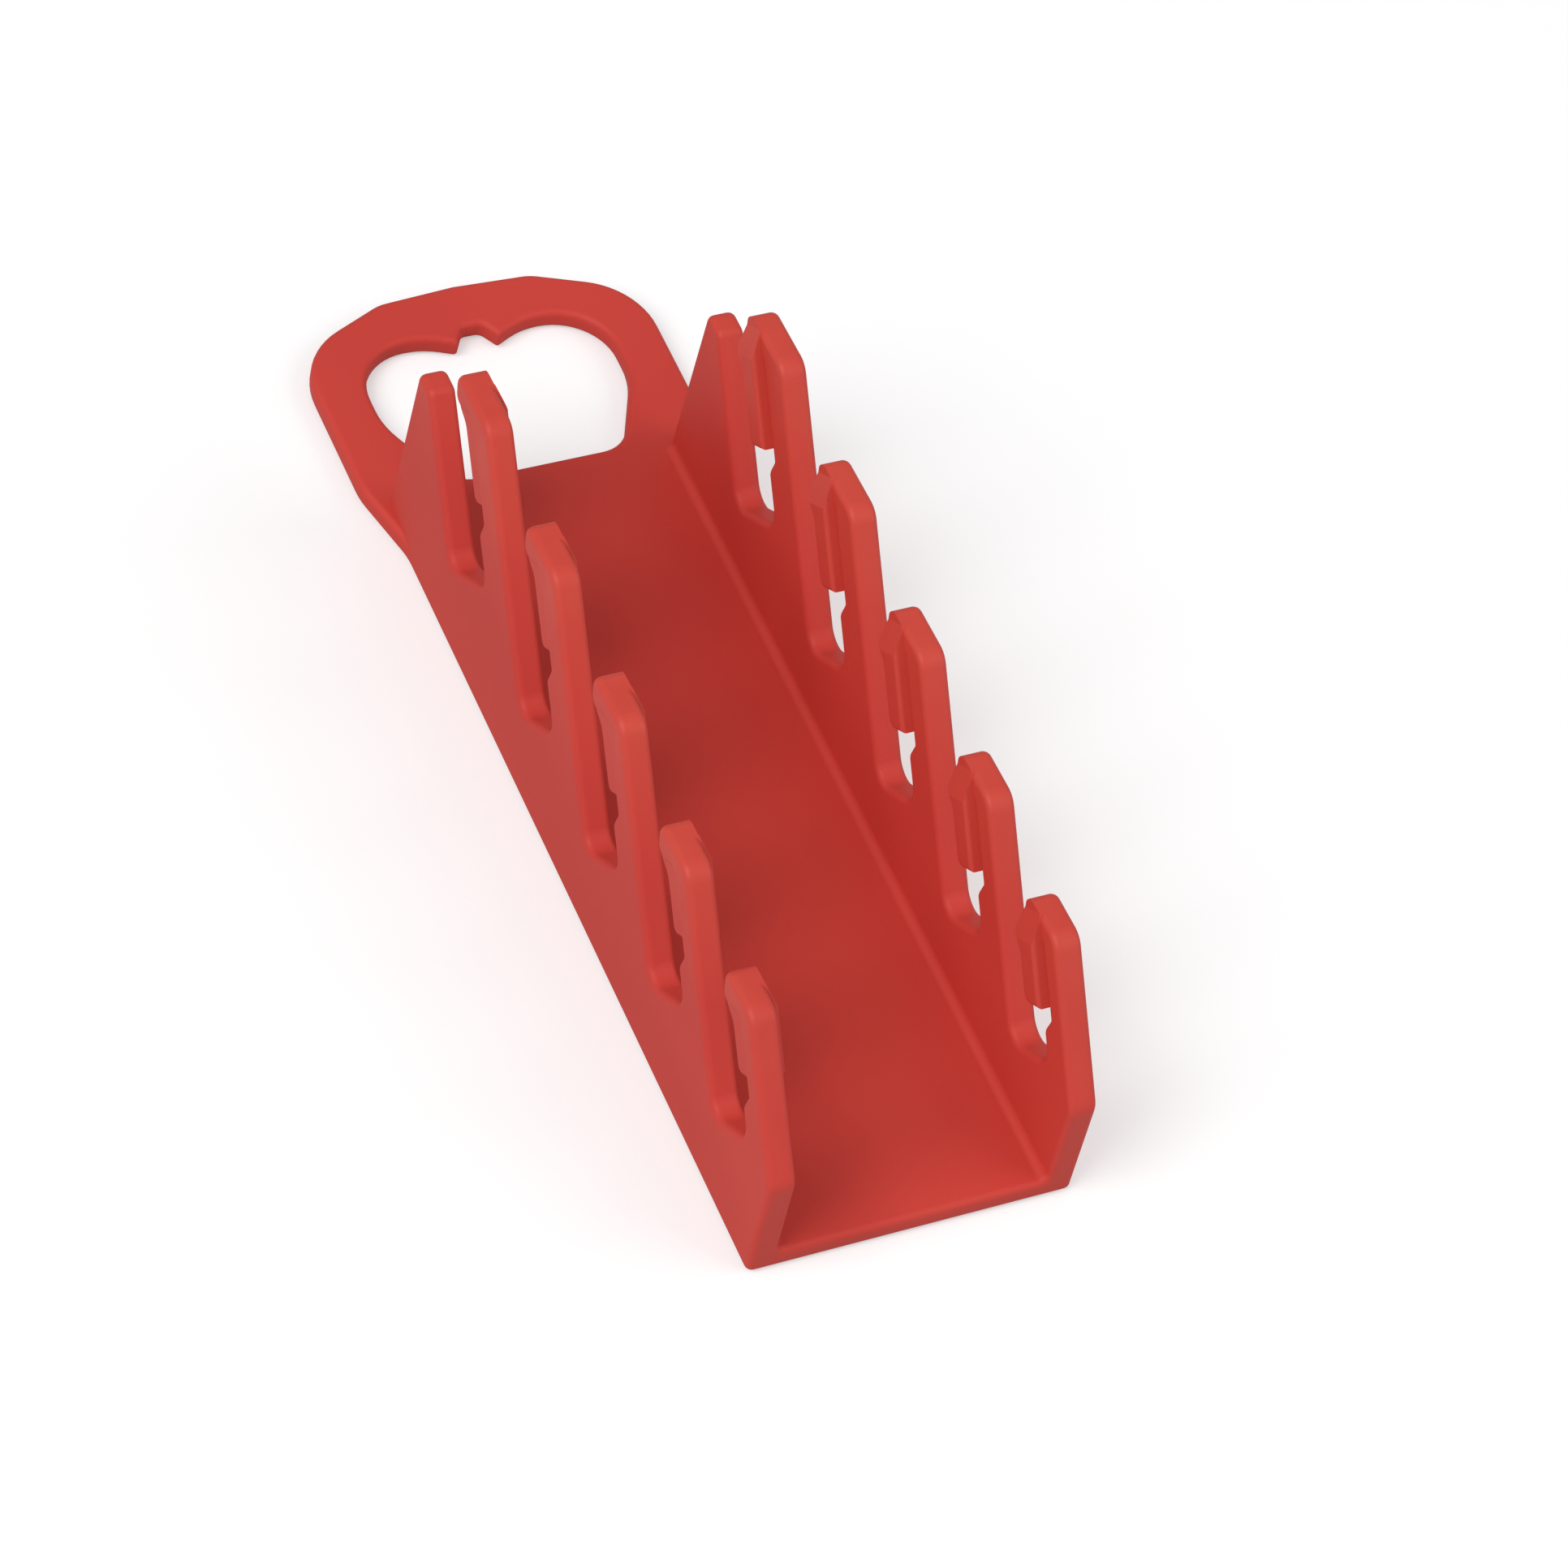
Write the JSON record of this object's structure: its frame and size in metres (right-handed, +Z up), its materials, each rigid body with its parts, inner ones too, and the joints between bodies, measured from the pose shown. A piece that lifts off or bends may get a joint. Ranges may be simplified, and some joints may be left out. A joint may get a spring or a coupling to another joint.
{
  "type": "wrench rack",
  "caption": "Moulded plastic wrench rack: two comb-like side walls on a base plate, with slanted slots and gripping fingers, and a D-shaped carry handle with a hanging notch.",
  "frame": {"origin": "centre of the flat back, at the middle of the rack's overall width and length, with Z = 0 on the back face", "axes": "+X across the rack, along the wrenches; +Y along the rack from the plain end to the carry handle; +Z up from the back face to the tips of the teeth"},
  "size_m": [0.0496, 0.1588, 0.0421],
  "materials": {
    "red_plastic": "satin"
  },
  "bodies": {
    "root": {"wrench_rack": "red_plastic"}
  },
  "joints": []
}
